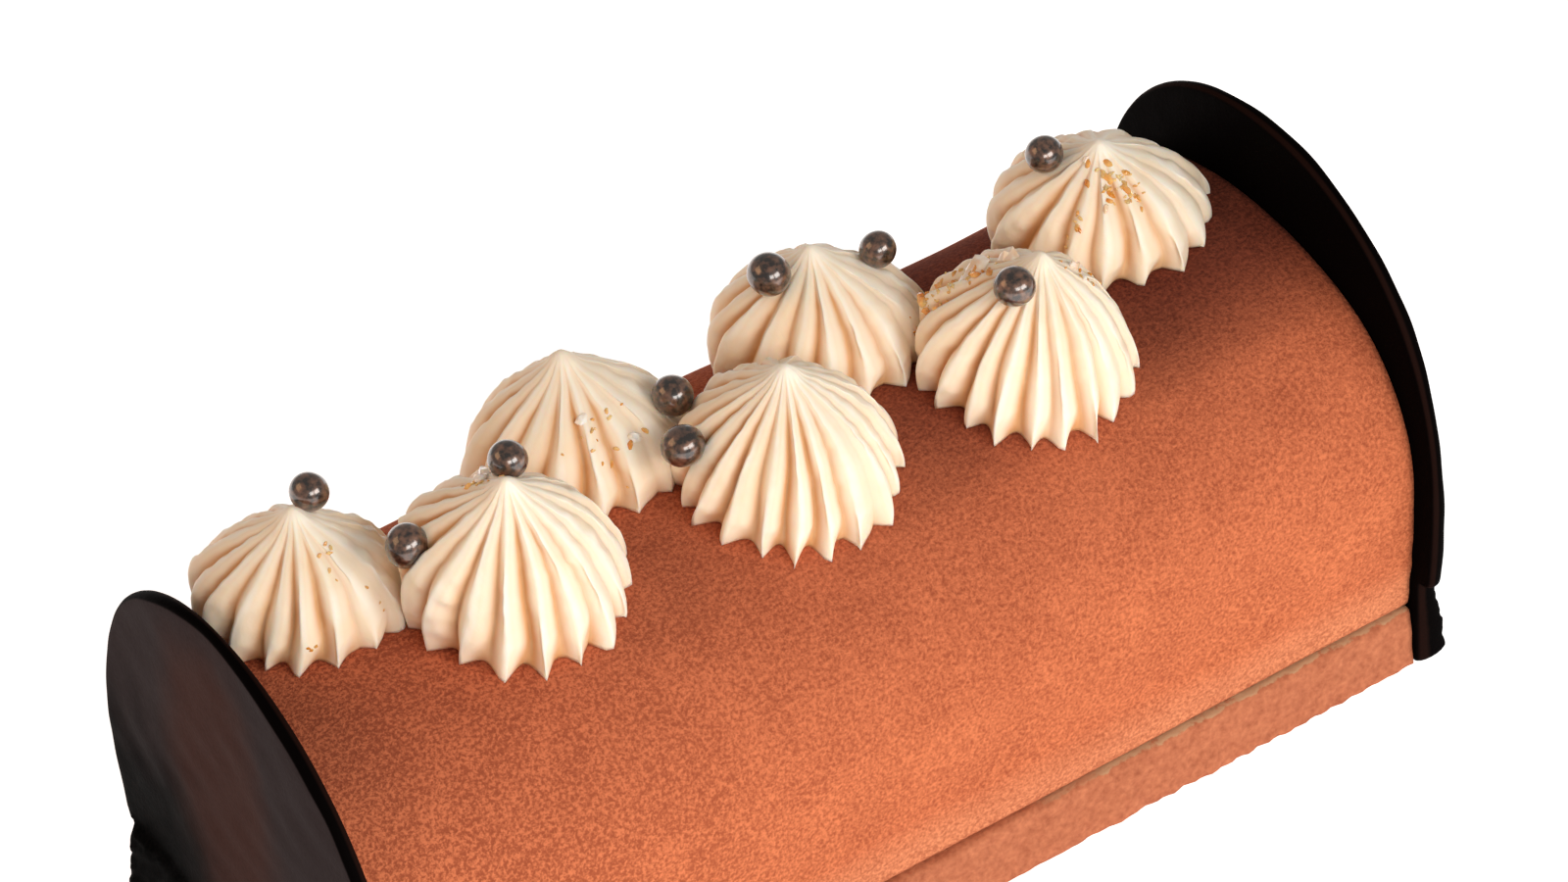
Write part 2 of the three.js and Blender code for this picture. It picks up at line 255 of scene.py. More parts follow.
LOG_WIDTH = 80
LOG_HEIGHT = 67.9
WIDEST_HEIGHT = 35.2
SQUARENESS = 2.3
SEAM_HEIGHT = 11.1
SEAM_TUCK = 1.8
SEAM_ROUNDING = 0.9
SEAM_FADE = 2
LOG_UNEVENNESS = 0.12
LOG_LUMP_WIDTH = 26
RIPPLE_HEIGHT = 0.16
RIPPLE_WIDTH = 5.5
RIPPLE_STRETCH = 0.12
RIPPLES_MIDDLE = 19
RIPPLES_SPREAD = 7
VELVET_GRAINS_PER_MM = 1.7
VELVET_CLOUDS_PER_MM = 0.095


def arch_rise(distance, half_width, rise, exponent):
    """Height of a squarish half oval: rise times (1 - share^n)^(1/n), share being the distance from
    the middle over the half width."""
    share = np.minimum(np.abs(distance) / half_width, 1)
    return rise * (1 - share ** exponent) ** (1 / exponent)


def arch_outline(half_width, widest, top, exponent, tuck, bottom, rounding):
    """Half an outline from its lower end over the top: below the widest height it tucks in by the
    square of the drop and its last corner is rounded, and above it is a squarish half oval."""
    low_z = np.linspace(bottom, widest, 120, endpoint=False)
    drop = (widest - low_z) / (widest - bottom)
    left = np.clip((bottom + rounding - low_z) / rounding, 0, 1)
    low_y = half_width - tuck * drop ** 2 - rounding * (1 - np.sqrt(1 - left ** 2))
    angle = np.linspace(0, np.pi / 2, 400)
    high_y = half_width * np.cos(angle) ** (2 / exponent)
    high_z = widest + (top - widest) * np.sin(angle) ** (2 / exponent)
    right = np.stack([np.append(low_y, high_y), np.append(low_z, high_z)], axis=-1)
    return np.vstack([right, right[-2::-1] * [-1, 1]])


def velvet_spray():
    """Cocoa butter spray on a frozen log: quite matt, with grains about 0.6 mm wide that are light on
    their tops and dark between. It is coarser towards the left end. Painted light makes it paler just
    above the seam, as if lit from the floor, and painted shade makes it a little darker towards the top
    and much darker along the top and just behind it, most of all at the right."""
    material, shader, place = new_material("velvet_cocoa_butter_spray")
    grain = node(material, "ShaderNodeTexNoise",
                 {"Vector": place, "Scale": VELVET_GRAINS_PER_MM / METRES, "Detail": 2.0,
                  "Roughness": 0.7})
    cloud = node(material, "ShaderNodeTexNoise",
                 {"Vector": place, "Scale": VELVET_CLOUDS_PER_MM / METRES, "Detail": 4.0})
    mixed = node(material, "ShaderNodeMath", {0: cloud, 1: 0.22, 2: grain}, operation="MULTIPLY_ADD")
    soft = node(material, "ShaderNodeMapRange", {"Value": mixed, "From Min": 0.43, "From Max": 0.79})
    coarse = node(material, "ShaderNodeMapRange", {"Value": mixed, "From Min": 0.53, "From Max": 0.72})
    axes = node(material, "ShaderNodeSeparateXYZ", {"Vector": place}).outputs
    towards_left = node(material, "ShaderNodeMapRange",
                        {"Value": axes["X"], **between(0, -70), "To Max": 0.85})
    speckle = node(material, "ShaderNodeMix", {"Factor": towards_left, "A": soft, "B": coarse})
    # Painted shade: the log's colour turns a little darker towards its top.
    towards_top = node(material, "ShaderNodeMapRange", {"Value": axes["Z"], **between(35, 69)})
    # Painted shade: the share named thin darkens the log along its top and just behind it, most towards
    # the right end, where the kisses and the right plate shade it.
    towards_right = node(material, "ShaderNodeMapRange",
                         {"Value": axes["X"], **between(-10, 40), "To Min": 0.22})
    behind = node(material, "ShaderNodeMapRange",
                  {"Value": axes["Y"], **between(12, 30), "To Max": 6.5 * METRES})
    lifted = node(material, "ShaderNodeMath", {0: axes["Z"], 1: behind}, operation="ADD")
    highest = node(material, "ShaderNodeMapRange", {"Value": lifted, **between(62.4, 67.6)})
    thin = node(material, "ShaderNodeMath", {0: highest, 1: towards_right}, operation="MULTIPLY")
    # Painted light: the share named thick makes the log paler just above the seam, as if lit from the
    # floor.
    thick = node(material, "ShaderNodeMapRange", {"Value": axes["Z"], **between(22, 15)})
    shades = []
    # In each pair the colour named bare is painted shade and the one named bottom is painted light.
    for middle, top, bottom, bare in (("#a05032", "#9c4e34", "#ab5f40", "#54251a"),
                                      ("#d47a50", "#d0734e", "#de8d63", "#83412e")):
        upper = node(material, "ShaderNodeMix", {"Factor": towards_top, "A": middle, "B": top},
                     data_type="RGBA")
        lower = node(material, "ShaderNodeMix", {"Factor": thick, "A": upper, "B": bottom},
                     data_type="RGBA")
        shades.append(node(material, "ShaderNodeMix", {"Factor": thin, "A": lower, "B": bare},
                           data_type="RGBA"))
    coloured = node(material, "ShaderNodeMix", {"Factor": speckle, "A": shades[0], "B": shades[1]},
                    data_type="RGBA")
    velvet = node(material, "ShaderNodeBump",
                  {"Height": grain, "Strength": 0.6, "Distance": 0.5 * METRES})
    fill(material, shader, {"Base Color": coloured, "Roughness": 0.95, "Specular IOR Level": 0.15,
                            "Normal": velvet})
    return material


log_outline = arch_outline(LOG_WIDTH / 2, WIDEST_HEIGHT, LOG_HEIGHT, SQUARENESS, SEAM_TUCK,
                           SEAM_HEIGHT, SEAM_ROUNDING)
mousse_grid = log_grid(evenly_spaced(log_outline, GRID_SPACING))
from_axis = (mousse_grid - [0, LOG_MIDDLE_Y, WIDEST_HEIGHT]) * [0, 1, 1]
outward = from_axis / np.linalg.norm(from_axis, axis=-1, keepdims=True)
low_side = np.exp(-((mousse_grid[..., 2] - RIPPLES_MIDDLE) / RIPPLES_SPREAD) ** 2)
ripples = unevenness(mousse_grid * [RIPPLE_STRETCH, 1, 1], RIPPLE_WIDTH, 21) * low_side * RIPPLE_HEIGHT
lumps = LOG_UNEVENNESS * (unevenness(mousse_grid, LOG_LUMP_WIDTH, 22) - 1)
above_bottom = np.clip((mousse_grid[..., 2] - SEAM_HEIGHT) / SEAM_FADE, 0, 1)
mousse_grid += outward * ((lumps + ripples) * above_bottom)[..., None]
add_piece("velvet_log", mousse_grid, closed_tube_faces(*mousse_grid.shape[:2]), velvet_spray(),
          ["mousse_log"])


# The end plates
# Two plates of dark chocolate, moulded about 2.6 mm thick with a small bevel, and pressed against the
# ends of the log. Each stands on a thicker foot, rough where chocolate was melted to fix it.

PLATE_WIDTH = 86
PLATE_THICKNESS = 2.6
PLATE_WIDEST_HEIGHT = 35.9
PLATE_SQUARENESS = 2.15
PLATE_TUCK = 1.1
PLATE_CORNER_ROUNDING = 1.2
PLATE_BEVEL = 0.8
PLATE_SPACING = 0.7
PLATE_RINGS = 34
PLATE_MIDDLE = (0.0, 40.0)
PLATE_WARP = 0.22
PLATE_WARP_WIDTH = 38
PLATE_WAVE = 0.06
PLATE_WAVE_WIDTH = 9
PLATE_WAVES_APART = 50
FOOT_WIDTH = 78.4
FOOT_TOP_THICKNESS = 3.6
FOOT_BOTTOM_THICKNESS = 6.2
FOOT_BLEND = 0.6
FOOT_ROUGHNESS = 0.14
FOOT_LUMP_WIDTH = 2.4
CHOCOLATE_CLOUDS_PER_MM = 0.06
CHOCOLATE_PITS_PER_MM = 1.5
CHOCOLATE_SCUFFS_PER_MM = 0.19
# Two spots on the outer faces: a browner painted sheen in the middle, and painted shade low at the back.
PAINTED_SHEEN_SPOT = {"centre": (0, 0.006, 0.046), "squeeze": (0, 62, 30)}
PAINTED_SHADE_CORNER = {"centre": (0, 0.050, -0.005), "squeeze": (0, 17, 19)}
PLATES = (
    {"name": "left", "side": -1, "height": 82.8, "notch": 18.2},
    {"name": "right", "side": 1, "height": 83.9, "notch": 17.2},
)


def plate_outline(plate):
    """The arch's outline over the notches, then straight in to the foot and down to the table, in
    even steps, with each corner blunted by averaging neighbours."""
    arch = arch_outline(PLATE_WIDTH / 2, PLATE_WIDEST_HEIGHT, plate["height"], PLATE_SQUARENESS,
                        PLATE_TUCK, plate["notch"], PLATE_CORNER_ROUNDING)
    half = FOOT_WIDTH / 2
    foot_right = np.array([[half, 0], [half, plate["notch"]]])
    outline = evenly_spaced(np.vstack([foot_right, arch, foot_right[::-1] * [-1, 1]]), PLATE_SPACING)
    blunted = (np.roll(outline, 1, axis=0) + outline + np.roll(outline, -1, axis=0)) / 3
    blunted[:, 1] = np.maximum(blunted[:, 1], 0)
    return blunted


def plate_surface(plate):
    """Rings of the outline, shrunk towards the middle in steps, run over the outer face from its
    middle, round the bevelled rim and over the inner face back to its middle. Also gives how far
    outwards each point lies, from 0 on the inner face to 1 on the outer one."""
    outline = plate_outline(plate)
    middle = np.array(PLATE_MIDDLE)
    inwards = middle - outline
    bevel = PLATE_BEVEL / np.linalg.norm(inwards, axis=1, keepdims=True)
    shares = np.linspace(0.02, 1, PLATE_RINGS)[:, None, None]
    face = middle - inwards * (shares * (1 - bevel))
    turn = np.linspace(0, np.pi, 9)[1:-1, None, None]
    rim = middle - inwards * (1 - bevel * (1 - np.sin(turn)))
    flat = np.concatenate([face, rim, face[::-1]])
    depth = np.concatenate([np.ones(PLATE_RINGS), (1 + np.cos(turn.ravel())) / 2,
                            np.zeros(PLATE_RINGS)])[:, None]
    y = flat[..., 0]
    z = np.maximum(flat[..., 1], 0)
    below = np.clip((plate["notch"] - z) / plate["notch"], 0, 1)
    in_foot = np.clip((plate["notch"] + FOOT_BLEND - z) / (2 * FOOT_BLEND), 0, 1)
    foot = FOOT_TOP_THICKNESS + (FOOT_BOTTOM_THICKNESS - FOOT_TOP_THICKNESS) * below
    thickness = PLATE_THICKNESS + (foot - PLATE_THICKNESS) * in_foot
    place = np.stack([np.full_like(y, plate["side"] * PLATE_WAVES_APART), y, z], axis=-1)
    warp = (PLATE_WARP * unevenness(place, PLATE_WARP_WIDTH, 31)
            + PLATE_WAVE * unevenness(place, PLATE_WAVE_WIDTH, 32))
    rough = in_foot * FOOT_ROUGHNESS * unevenness(place, FOOT_LUMP_WIDTH, 33)
    outward = depth * (thickness + warp - PLATE_WARP + rough)
    x = end_x(plate["side"], y, z) + plate["side"] * outward
    return np.stack([x, y, z], axis=-1), np.broadcast_to(depth, x.shape)


def keep_for_material(piece, name, values):
    """Keeps a number for each point of a piece, which its material reads by name."""
    kept = piece.data.attributes.new(name, "FLOAT", "POINT")
    kept.data.foreach_set("value", np.ravel(values))


def tempered_chocolate():
    """Dark couverture with painted light: painted shade makes it nearly black on the inner face and
    round the rim, with a browner painted highlight along the edge between them. The outer face is
    painted grey-brown for its sheen, a painted reflection, with fine flecks, a browner painted sheen
    in its middle, and painted shade low at the back."""
    material, shader, place = new_material("dark_couverture")
    outer = node(material, "ShaderNodeAttribute", attribute_name="outer").outputs["Fac"]
    cloud = node(material, "ShaderNodeTexNoise",
                 {"Vector": place, "Scale": CHOCOLATE_CLOUDS_PER_MM / METRES, "Detail": 4.0})
    pits = node(material, "ShaderNodeTexNoise",
                {"Vector": place, "Scale": CHOCOLATE_PITS_PER_MM / METRES, "Detail": 2.0})
    scuffs = node(material, "ShaderNodeTexNoise",
                  {"Vector": place, "Scale": CHOCOLATE_SCUFFS_PER_MM / METRES, "Detail": 5.0,
                   "Roughness": 0.7})
    uneven = node(material, "ShaderNodeMath", {0: cloud, 1: 0.9, 2: -0.45}, operation="MULTIPLY_ADD")
    # Painted sheen near the middle of the outer face, and painted shade near its lower back corner.
    near = []
    for spot in (PAINTED_SHEEN_SPOT, PAINTED_SHADE_CORNER):
        offset = node(material, "ShaderNodeVectorMath", {0: place, 1: spot["centre"]},
                      operation="SUBTRACT")
        scaled = node(material, "ShaderNodeVectorMath", {0: offset, 1: spot["squeeze"]},
                      operation="MULTIPLY")
        length = node(material, "ShaderNodeVectorMath", {0: scaled}, operation="LENGTH")
        ragged = node(material, "ShaderNodeMath", {0: length, 1: uneven}, operation="ADD")
        near.append(node(material, "ShaderNodeMapRange",
                         {"Value": ragged, "From Min": 1.3, "From Max": 0.6},
                         interpolation_type="SMOOTHSTEP"))
    # The outer face's grey-brown is a painted reflection, with a browner painted sheen in the middle and
    # near-black painted shade low at the back.
    painted_sheen_face = node(material, "ShaderNodeMix", {"Factor": near[0], "A": "#302829", "B": "#3d2824"},
                   data_type="RGBA")
    painted_sheen_and_shade = node(material, "ShaderNodeMix", {"Factor": near[1], "A": painted_sheen_face, "B": "#030303"},
                data_type="RGBA")
    flecks = node(material, "ShaderNodeMapRange",
                  {"Value": pits, "From Min": 0.4, "From Max": 0.75, "To Max": 0.2})
    flecked = node(material, "ShaderNodeMix", {"Factor": flecks, "A": painted_sheen_and_shade, "B": "#1a1514"},
                   data_type="RGBA")
    faced = node(material, "ShaderNodeMapRange", {"Value": outer, "From Min": 0.96, "From Max": 1.0})
    # Painted highlight: a browner stripe along the rim's edge, between the near-black painted shade of the
    # inner face and the rim.
    on_edge = node(material, "ShaderNodeMapRange",
                   {"Value": outer, "From Min": 0.02, "From Max": 0.12})
    past_edge = node(material, "ShaderNodeMapRange",
                     {"Value": outer, "From Min": 0.45, "From Max": 0.3})
    painted_edge_highlight = node(material, "ShaderNodeMath", {0: on_edge, 1: past_edge}, operation="MULTIPLY")
    painted_inner_shade_and_highlight = node(material, "ShaderNodeMix", {"Factor": painted_edge_highlight, "A": "#060404", "B": "#1c0f0c"},
                 data_type="RGBA")
    # The outer face takes the painted sheen and reflection, and the inner face and rim take the painted
    # shade.
    coloured = node(material, "ShaderNodeMix", {"Factor": faced, "A": painted_inner_shade_and_highlight, "B": flecked},
                    data_type="RGBA")
    dull = node(material, "ShaderNodeMapRange", {"Value": scuffs, "To Min": 0.42, "To Max": 0.62})
    relief = node(material, "ShaderNodeBump",
                  {"Height": pits, "Strength": 0.2, "Distance": 0.2 * METRES})
    rubbed = node(material, "ShaderNodeBump",
                  {"Height": scuffs, "Strength": 0.2, "Distance": 0.5 * METRES, "Normal": relief})
    fill(material, shader, {"Base Color": coloured, "Roughness": dull, "IOR": 1.5,
                            "Specular IOR Level": 0.005, "Normal": rubbed})
    return material


chocolate = tempered_chocolate()
for plate in PLATES:
    plate_grid, outer_share = plate_surface(plate)
    plate_faces = closed_tube_faces(*plate_grid.shape[:2])
    if plate["side"] > 0:
        plate_faces = [face[::-1] for face in plate_faces]
    plate_object = add_piece(f"chocolate_plate_{plate['name']}", plate_grid, plate_faces, chocolate,
                             [f"end_plate_{plate['name']}"])
    keep_for_material(plate_object, "outer", outer_share)


# The cream kisses
# Seven kisses of whipped vanilla ganache, piped from a many-pointed star nozzle in a zigzag along the
# top. Each has sharp crests with hollow grooves between, pointed toes and a small drawn-out tip.

KISSES = (
    {"x": -69.5, "y": 15.8, "wide": 16.2, "tall": 18.8, "ridges": 17, "turn": 4,
     "forward": -0.03, "aside": 0.02, "fuller": 0.45, "fullest": 131, "smear": 0.6},
    {"x": -43.8, "y": -2.0, "wide": 17.1, "tall": 24.6, "ridges": 18, "turn": 10,
     "forward": 0.12, "aside": -0.04, "fuller": 0.45, "fullest": 146, "smear": 0.0},
    {"x": -19.9, "y": 18.6, "wide": 18.1, "tall": 19.4, "ridges": 16, "turn": 0,
     "forward": -0.13, "aside": 0.02, "fuller": 0.2, "fullest": 154, "smear": 0.35},
    {"x": 2.1, "y": -4.8, "wide": 17.5, "tall": 19.9, "ridges": 20, "turn": 6,
     "forward": 0.0, "aside": 0.07, "fuller": 0.15, "fullest": 121, "smear": 0.0},
    {"x": 23.0, "y": 16.6, "wide": 17.2, "tall": 18.8, "ridges": 16, "turn": 14,
     "forward": -0.07, "aside": 0.0, "fuller": 0.38, "fullest": 125, "smear": 0.35},
    {"x": 44.4, "y": -6.5, "wide": 16.9, "tall": 20.6, "ridges": 20, "turn": 2,
     "forward": 0.09, "aside": 0.14, "fuller": 0.3, "fullest": 138, "smear": 0.0},
    {"x": 72.1, "y": 12.4, "wide": 17.3, "tall": 17.5, "ridges": 16, "turn": 8,
     "forward": 0.07, "aside": -0.03, "fuller": 0.37, "fullest": 117, "smear": 0.2},
)
KISS_UP = np.array([0.0, 0.06, 0.18, 0.36, 0.53, 0.69, 0.82, 0.91, 0.96, 1.0])
KISS_OUT = np.array([1.0, 1.0, 0.965, 0.855, 0.715, 0.505, 0.3, 0.155, 0.1, 0.045])
KISS_GROOVE = np.array([0.165, 0.165, 0.16, 0.155, 0.15, 0.14, 0.105, 0.05, 0.02, 0.0])
KISS_ROWS = 54
KISS_TIP = 1.02
KISS_CONTACT = 0.1
PRESSED_GAP = 0.04
UNDERSIDE_SHARES = (0.8, 0.5, 0.2)
FOOT_FOLLOW = 0.7
STEPS_A_RIDGE = 16
VALLEY = 0.7
GENTLE_FLANK = 2.0
STEEP_FLANK = 1.1
TOE_HEIGHT = 0.22
ROUND_TOES_DIRECTION = math.radians(-10)
ROUND_TOES_REACH = 1.6
FLATTER_RIGHT = 0.55
GROOVE_DEPTHS = (0.75, 1.2)
GROOVES_END = 0.97
GROOVES_FADE = 0.25
KISS_SWIRL = math.radians(9)
CREST_SHIFT = 0.13
CREST_SWAY = 0.06
SWAYS_A_CREST = 1.3
SWAY_SHIFT = 0.37
CREST_HEIGHT = 0.03
CREST_RHYTHM = 2.3
SMEAR_DIRECTION = math.radians(-42)
SMEAR_WIDTH = math.radians(34)
SMEAR_AT_FOOT = 0.4
SMEAR_GROWTH = 3
SHOULDER_SLANT = 1.6
CREAM_LUMP_HEIGHT = 0.07
CREAM_LUMP_WIDTH = 3.2
GANACHE_CLOUDS_PER_MM = 0.13
GANACHE_BUBBLES_PER_MM = 1.4


def log_top(y):
    """Height of the log's skin at a place across it."""
    return WIDEST_HEIGHT + arch_rise(y - LOG_MIDDLE_Y, LOG_WIDTH / 2, LOG_HEIGHT - WIDEST_HEIGHT,
                                     SQUARENESS)


def smooth_through(wanted, places, values):
    """A curve through given values: between two places it is a cubic that leaves each with the slope
    of the line through that place's neighbours."""
    slopes = np.gradient(values, places)
    i = np.clip(np.searchsorted(places, wanted, side="right") - 1, 0, len(places) - 2)
    width = places[i + 1] - places[i]
    t = (wanted - places[i]) / width
    from_start = (2 * t ** 3 - 3 * t ** 2 + 1) * values[i] + (t ** 3 - 2 * t ** 2 + t) * width * slopes[i]
    to_stop = (3 * t ** 2 - 2 * t ** 3) * values[i + 1] + (t ** 3 - t ** 2) * width * slopes[i + 1]
    return from_start + to_stop


def kept_clear(kiss, x, y):
    """Kisses that stand close press each other flat: no point goes past the line that shares the
    distance between two kisses by their radii."""
    for other in KISSES:
        if other is kiss:
            continue
        away = np.array([other["x"] - kiss["x"], other["y"] - kiss["y"]])
        distance = np.linalg.norm(away)
        away = away / distance
        limit = distance * kiss["wide"] / (kiss["wide"] + other["wide"]) - PRESSED_GAP / 2
        past = np.maximum((x - kiss["x"]) * away[0] + (y - kiss["y"]) * away[1] - limit, 0)
        x = x - past * away[0]
        y = y - past * away[1]
    return x, y


def kiss_points(kiss, angle, out, up):
    """Points at a direction, a distance from the middle and a share of the height. The tip bends over
    forward and aside by the square of the height, and the foot follows the log's slope, which counts
    less higher up."""
    bend = kiss["tall"] * up ** 2
    x, y = kept_clear(kiss, kiss["x"] + out * np.cos(angle) + kiss["aside"] * bend,
                      kiss["y"] + out * np.sin(angle) - kiss["forward"] * bend)
    drop = log_top(y + kiss["forward"] * bend) - log_top(kiss["y"])
    z = (log_top(kiss["y"]) + KISS_CONTACT + up * kiss["tall"]
         + drop * (1 - np.minimum(up, 1)) ** FOOT_FOLLOW)
    return np.stack(np.broadcast_arrays(x, y, z), axis=-1)


def kiss_rows(kiss):
    """The rows' shares of the height, spaced evenly along the side's own curve."""
    fine = np.linspace(0, 1, 400)
    length = np.hypot(np.diff(smooth_through(fine, KISS_UP, KISS_OUT)) * kiss["wide"],
                      np.diff(fine) * kiss["tall"])
    travelled = np.append(0, np.cumsum(length))
    return np.interp(np.linspace(0, travelled[-1], KISS_ROWS), travelled, fine)[:, None]


def kiss_angle(kiss, shifts, step, up):
    """Each point's direction: its even share of a whole turn, with the swirl that grows with height,
    and with each crest shifted by its own amount at the foot and at the tip and swaying between."""
    ridge = step // STEPS_A_RIDGE
    across = (step % STEPS_A_RIDGE) / STEPS_A_RIDGE
    ends = np.append(shifts, shifts[:, :1], axis=1)
    low, high = (end[ridge] + (end[ridge + 1] - end[ridge]) * across for end in ends)
    sway = CREST_SWAY * np.sin(2 * np.pi * (SWAYS_A_CREST * up + ridge * SWAY_SHIFT))
    wander = 2 * np.pi / kiss["ridges"] * (low + (high - low) * up + sway)
    return 2 * np.pi * step / len(step) + math.radians(kiss["turn"]) + KISS_SWIRL * up + wander


def kiss_surface(kiss, seed):
    """Rings from the middle of the underside out to the toes and up to the tip. Between two crests the
    radius dips by half a sine wave at the pointed toes. Higher up, and at the rounder toes on the
    right, it slopes gently away from one crest into a sharp valley and rises steeply to the next, as
    the nozzle was turned while piping. Each crest wanders a little, each groove has its own depth, and
    the grooves are flatter on the right and run out under the tip.
    Also gives how deep each point lies in its groove, from 0 to 1."""
    random = np.random.default_rng(seed)
    up = kiss_rows(kiss)
    step = np.arange(kiss["ridges"] * STEPS_A_RIDGE)
    ridge = step // STEPS_A_RIDGE
    across = (step % STEPS_A_RIDGE) / STEPS_A_RIDGE
    own_depth = random.uniform(*GROOVE_DEPTHS, kiss["ridges"])[ridge]
    shifts = random.uniform(-CREST_SHIFT, CREST_SHIFT, (2, kiss["ridges"]))
    angle = kiss_angle(kiss, shifts, step, up)

    to_right = np.clip(ROUND_TOES_REACH * np.cos(angle - ROUND_TOES_DIRECTION), 0, 1)
    over_toes = np.minimum(up / TOE_HEIGHT, 1)
    slanted = np.maximum(over_toes, to_right)
    saw = np.minimum((across / VALLEY) ** GENTLE_FLANK, ((1 - across) / (1 - VALLEY)) ** STEEP_FLANK)
    hollow = (1 - slanted) * np.sin(np.pi * across) + slanted * saw
    turned = (angle - SMEAR_DIRECTION + np.pi) % (2 * np.pi) - np.pi
    smeared = kiss["smear"] * np.exp(-(turned / SMEAR_WIDTH) ** 2)
    kept = 1 - smeared * np.minimum(SMEAR_AT_FOOT + SMEAR_GROWTH * up, 1)
    kept = kept * (1 - FLATTER_RIGHT * to_right * over_toes)
    groove = smooth_through(up, KISS_UP, KISS_GROOVE) * own_depth * kept

    dip = CREST_HEIGHT * np.sin(ridge * CREST_RHYTHM + kiss["turn"])
    next_dip = CREST_HEIGHT * np.sin((ridge + 1) % kiss["ridges"] * CREST_RHYTHM + kiss["turn"])
    uneven = dip + (next_dip - dip) * across
    facing = np.maximum(0, np.cos(angle - math.radians(kiss["fullest"])))
    shoulder = 1 + kiss["fuller"] * facing * np.sin(np.pi * up ** SHOULDER_SLANT)
    share = smooth_through(up, KISS_UP, KISS_OUT) * shoulder * (1 - groove * hollow - uneven)
    out = share * kiss["wide"]
    wall = kiss_points(kiss, angle, out, up)
    lumps = CREAM_LUMP_HEIGHT * unevenness(wall, CREAM_LUMP_WIDTH, seed)
    wall = wall + lumps[..., None] * np.sin(np.pi * up)[..., None]

    none = np.zeros(len(step))
    under = [kiss_points(kiss, angle[0], out[0] * inner, 0) for inner in UNDERSIDE_SHARES[::-1]]
    under_middle = kiss_points(kiss, none, none, 0)
    tip = kiss_points(kiss, none, none, KISS_TIP)
    rings = np.concatenate([[under_middle], under, wall, [tip]])
    under_tip = np.clip((GROOVES_END - up) / GROOVES_FADE, 0, 1)
    depth = np.broadcast_to(hollow * own_depth * kept * under_tip, wall.shape[:2])
    return rings, np.concatenate([[none] * (1 + len(under)), depth, [none]])


def faces_between_poles(rings, count):
    """The quads between the rings, a fan from the first ring to a pole under it, and one from the last
    ring to a pole over it. The two poles' points follow the rings' own."""
    last = (rings - 1) * count
    lower_pole = rings * count
    fans = [[(i + 1) % count, i, lower_pole] for i in range(count)]
    fans += [[last + i, last + (i + 1) % count, lower_pole + 1] for i in range(count)]
    return ring_faces(rings, count) + fans


def whipped_ganache():
    """Whipped vanilla ganache: softly matt, with fine air bubbles. A little light passes through its
    sharp crests, which are painted palest, a painted highlight; its flanks are ivory, and its grooves
    are painted deeper in colour, painted shade."""
    material, shader, place = new_material("whipped_vanilla_ganache")
    groove = node(material, "ShaderNodeAttribute", attribute_name="groove").outputs["Fac"]
    cloud = node(material, "ShaderNodeTexNoise",
                 {"Vector": place, "Scale": GANACHE_CLOUDS_PER_MM / METRES, "Detail": 3.0})
    bubbles = node(material, "ShaderNodeTexNoise",
                   {"Vector": place, "Scale": GANACHE_BUBBLES_PER_MM / METRES, "Detail": 2.0})
    # Painted shade deepens the grooves' colour, and a painted highlight makes the crests palest, both from
    # each point's depth in its groove.
    depth = node(material, "ShaderNodeMapRange", {"Value": groove, "From Min": 0.2, "From Max": 1.0},
                 interpolation_type="SMOOTHSTEP")
    flank = node(material, "ShaderNodeMapRange", {"Value": groove, "From Max": 0.12})
    crest_highlight_mix = node(material, "ShaderNodeMix", {"Factor": flank, "A": "#fff4e4", "B": "#fae6cd"},
                   data_type="RGBA")
    shaded = node(material, "ShaderNodeMix", {"Factor": depth, "A": crest_highlight_mix, "B": "#dba46f"},
                  data_type="RGBA")
    warm = node(material, "ShaderNodeMapRange",
                {"Value": cloud, "From Min": 0.45, "From Max": 0.75, "To Max": 0.45})
    coloured = node(material, "ShaderNodeMix", {"Factor": warm, "A": shaded, "B": "#f5d9b4"},
                    data_type="RGBA")
    relief = node(material, "ShaderNodeBump",
                  {"Height": bubbles, "Strength": 0.18, "Distance": 0.3 * METRES})
    fill(material, shader, {"Base Color": coloured, "Roughness": 0.5, "IOR": 1.45,
                            "Subsurface Weight": 0.3, "Subsurface Scale": 1.8 * METRES,
                            "Subsurface Radius": (1.0, 0.5, 0.25), "Specular IOR Level": 0.35,
                            "Normal": relief})
    return material


ganache = whipped_ganache()
kiss_grids = []
for number, kiss in enumerate(KISSES, start=1):
    kiss_grid, groove_depth = kiss_surface(kiss, 40 + number)
    kiss_grids.append(kiss_grid)
    rings, count = kiss_grid.shape[:2]
    poles = kiss_grid[[0, -1], 0]
    kiss_object = add_piece(f"ganache_kiss_{number}", np.vstack([kiss_grid[1:-1].reshape(-1, 3), poles]),
                            faces_between_poles(rings - 2, count), ganache,
                            [f"cream_kiss_{number}"])
    # The groove depths drive the cream's painted shade and painted crest highlight.
    keep_for_material(kiss_object, "groove", np.append(groove_depth[1:-1], [0, 0]))


# The chocolate pearls
# Crisp cereal pearls about 6 mm across, tumbled in dark chocolate and dusted with a bronze shimmer.
# Each lies pressed a little into the cream, and none is quite round.

PEARL_ROWS = 24
PEARL_COLUMNS = 40
PEARL_UNEVENNESS = 0.03
PEARL_SIZES = (0.93, 1.04, 0.94, 1.02, 1.04, 1.08, 0.91, 0.99, 0.94)
PEARL_SPOTS_PER_MM = 0.9


